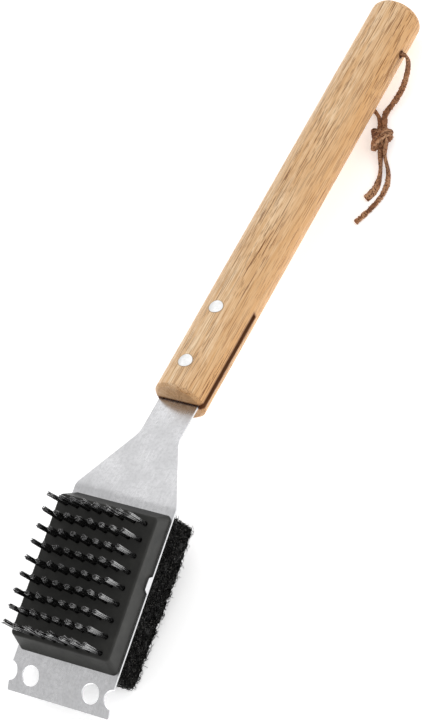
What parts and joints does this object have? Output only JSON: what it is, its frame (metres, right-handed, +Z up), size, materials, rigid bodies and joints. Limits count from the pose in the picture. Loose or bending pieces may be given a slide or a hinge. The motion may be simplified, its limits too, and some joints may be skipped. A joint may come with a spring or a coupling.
{
  "type": "grill cleaning brush",
  "caption": "Long grill cleaning brush: round wooden handle, bent steel blade with scraper edge, nylon brush on one face, scouring pad on the other, leather hanging lace.",
  "frame": {"origin": "on the floor, at the middle of the box of the brush without its lace", "axes": "+Y from the scraper edge to the end of the handle, +Z up with the bristles up, +X across the head to the side on which the lace lies"},
  "size_m": [0.0682, 0.457, 0.0727],
  "materials": {
    "wood": "lightly oiled, open-grained",
    "steel": "satin stainless sheet",
    "rivet": "ground flush",
    "block_plastic": "moulded, semi-matte",
    "bristle_nylon": "glossy filament",
    "anchor_wire": "flat wire",
    "adhesive": "cured contact adhesive",
    "pad_fibre": "coarse abrasive non-woven",
    "lace_leather": "cut suede edges"
  },
  "bodies": {
    "brush": {"blade": "steel", "handle": "wood", "rivet_lower": "rivet", "rivet_upper": "rivet", "brush_block": "block_plastic", "anchor_row_1": "anchor_wire", "anchor_row_2": "anchor_wire", "anchor_row_3": "anchor_wire", "anchor_row_4": "anchor_wire", "anchor_row_5": "anchor_wire", "anchor_row_6": "anchor_wire", "anchor_row_7": "anchor_wire", "anchor_row_8": "anchor_wire", "anchor_row_9": "anchor_wire", "bristle_row_1": "bristle_nylon", "bristle_row_2": "bristle_nylon", "bristle_row_3": "bristle_nylon", "bristle_row_4": "bristle_nylon", "bristle_row_5": "bristle_nylon", "bristle_row_6": "bristle_nylon", "bristle_row_7": "bristle_nylon", "bristle_row_8": "bristle_nylon", "bristle_row_9": "bristle_nylon", "pad_adhesive": "adhesive", "scouring_pad": "pad_fibre"},
    "hanging_loop": {"lace_in_hole": "lace_leather", "lace_strand_front": "lace_leather", "lace_strand_rear": "lace_leather", "lace_knot": "lace_leather", "lace_tail_short": "lace_leather", "lace_tail_long": "lace_leather"}
  },
  "joints": [
    {"name": "loop_swing", "type": "hinge", "parent": "brush", "child": "hanging_loop", "pos_m": [0, 0.19936, 0.01689], "axis": [1, 0, 0], "range_deg": [0, 180]}
  ]
}
